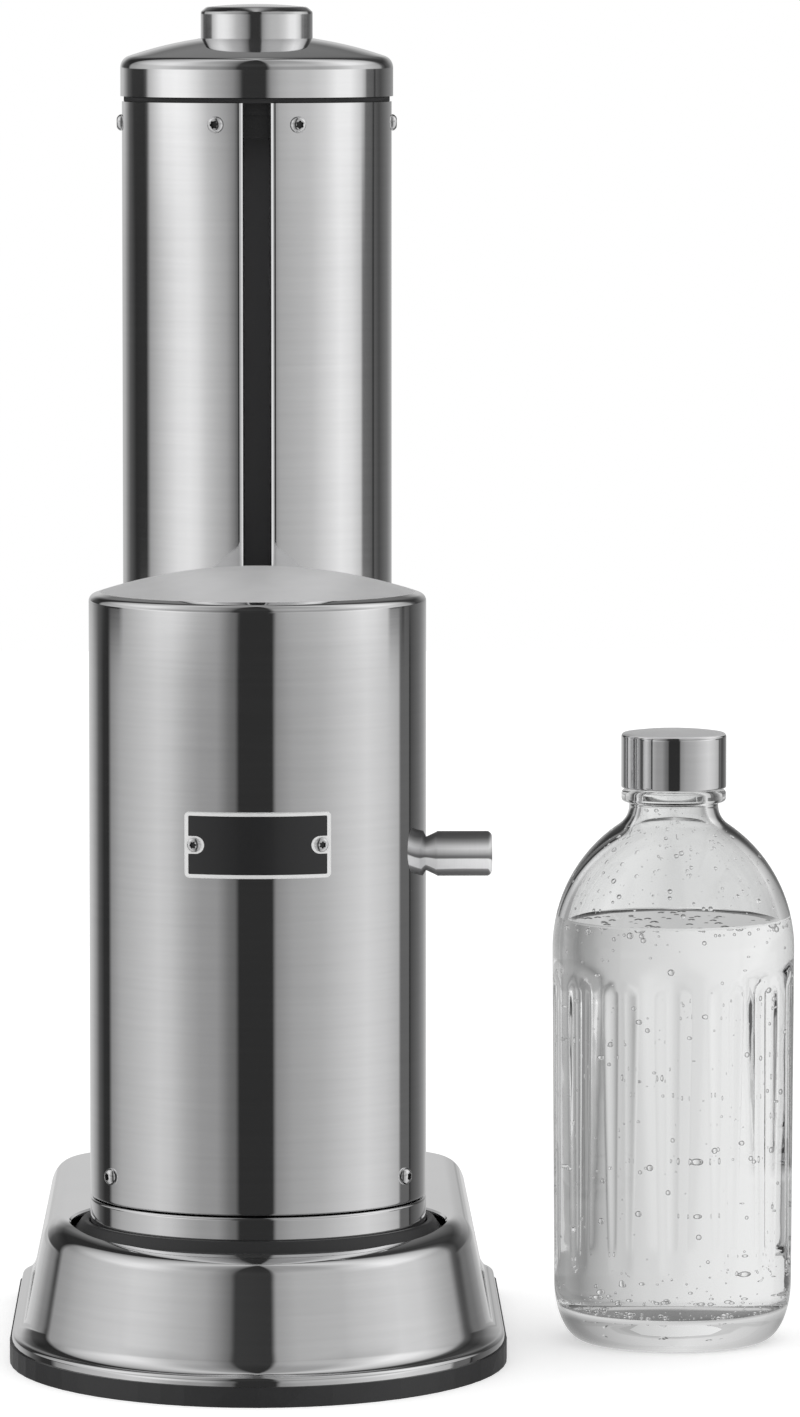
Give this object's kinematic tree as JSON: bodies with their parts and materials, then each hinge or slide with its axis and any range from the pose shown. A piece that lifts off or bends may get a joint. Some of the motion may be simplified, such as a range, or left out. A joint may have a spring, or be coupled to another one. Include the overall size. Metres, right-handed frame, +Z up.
{
  "type": "sparkling water maker",
  "caption": "Slim steel sparkling water maker: domed chamber that turns and lifts on a slotted column, top button, oval base, fluted glass bottle beside it.",
  "frame": {"origin": "on the supporting surface, where the axis of the pressure chamber meets it", "axes": "+Z up along the chamber and column, front of the machine faces -Y, +X to its right, where the handle points and the bottle stands"},
  "size_m": [0.2561, 0.2705, 0.437],
  "materials": {
    "polished_steel": "polished drawn sheet",
    "brushed_steel": "finely brushed",
    "black_plastic": "moulded, satin",
    "black_rubber": "matt",
    "screw_steel": "bright",
    "brass": "machined",
    "aluminium": "satin",
    "white_plastic": "moulded, satin",
    "black_enamel": "satin black, bare",
    "hose_plastic": "smooth tube",
    "glass": "clear pressed glass"
  },
  "bodies": {
    "housing": {"foot_plate": "black_plastic", "base_screws": "screw_steel", "base_frame": "black_plastic", "base_shell": "polished_steel", "drip_ring": "black_plastic", "bottle_cup": "polished_steel", "bayonet_collar": "black_plastic", "collar_screws": "screw_steel", "bottle_seat": "black_rubber", "column_tube": "polished_steel", "column_screws": "screw_steel", "guide_rail": "black_plastic", "top_frame": "black_plastic", "cap_gasket": "black_rubber", "top_cap": "polished_steel", "cap_screws": "screw_steel", "valve_body": "brass", "valve_screws": "screw_steel", "valve_gasket": "black_rubber", "relief_valve": "brass", "gas_pipe": "screw_steel", "gas_manifold": "aluminium", "gas_hose": "hose_plastic", "button_spring": "screw_steel"},
    "carriage": {"carriage_block": "black_plastic", "glide_pads": "white_plastic", "lift_arm": "aluminium", "arm_screws": "screw_steel", "head_body": "aluminium", "head_screws": "screw_steel", "bottle_seal": "black_rubber", "gas_nozzle": "screw_steel", "pivot_screw": "screw_steel"},
    "chamber": {"chamber_shell": "polished_steel", "dome_bush": "white_plastic", "lock_ring": "aluminium", "chamber_screws": "screw_steel", "handle_knob": "brushed_steel", "handle_stud": "screw_steel", "handle_nut": "screw_steel", "nameplate": "polished_steel", "nameplate_inlay": "black_enamel", "nameplate_screws": "screw_steel"},
    "button": {"button": "polished_steel", "push_rod": "screw_steel"},
    "gas_cylinder": {"gas_cylinder": "aluminium"},
    "cylinder_pin": {"cylinder_pin": "brass"},
    "bottle": {"bottle_glass": "glass"},
    "cap_liner": {"cap_liner": "white_plastic"},
    "bottle_cap": {"bottle_cap": "brushed_steel", "cap_insert": "black_plastic"}
  },
  "joints": [
    {"name": "chamber_lift", "type": "slide", "parent": "housing", "child": "carriage", "axis": [0, 0, 1], "range_m": [0, 0.17], "deforming": ["gas_hose"]},
    {"name": "chamber_turn", "type": "hinge", "parent": "carriage", "child": "chamber", "pos_m": [0, 0, 0.25], "axis": [0, 0, 1], "range_deg": [-25, 0]},
    {"name": "button_press", "type": "slide", "parent": "housing", "child": "button", "axis": [0, 0, -1], "range_m": [0, 0.0035], "stiffness_N_per_m": 1500, "springref_m": -0.004, "deforming": ["button_spring"]},
    {"name": "cylinder_draw", "type": "slide", "parent": "housing", "child": "gas_cylinder", "axis": [0, 0, -1], "range_m": [0, 0.36]},
    {"name": "pin_press", "type": "slide", "parent": "gas_cylinder", "child": "cylinder_pin", "axis": [0, 0, -1], "range_m": [0, 0.0035]},
    {"name": "bottle_lift", "type": "slide", "parent": "housing", "child": "bottle", "axis": [0, 0, 1], "range_m": [0, 0.25]},
    {"name": "liner_rise", "type": "slide", "parent": "bottle", "child": "cap_liner", "axis": [0, 0, 1], "range_m": [0, 0.0045]},
    {"name": "cap_turn", "type": "hinge", "parent": "cap_liner", "child": "bottle_cap", "pos_m": [0.136, 0.054, 0.19], "axis": [0, 0, 1], "range_deg": [0, 540]}
  ],
  "couplings": [
    {"joint": "pin_press", "follows": "button_press", "ratio": 1},
    {"joint": "cap_turn", "follows": "liner_rise", "rad_per_m": 2094.4}
  ]
}
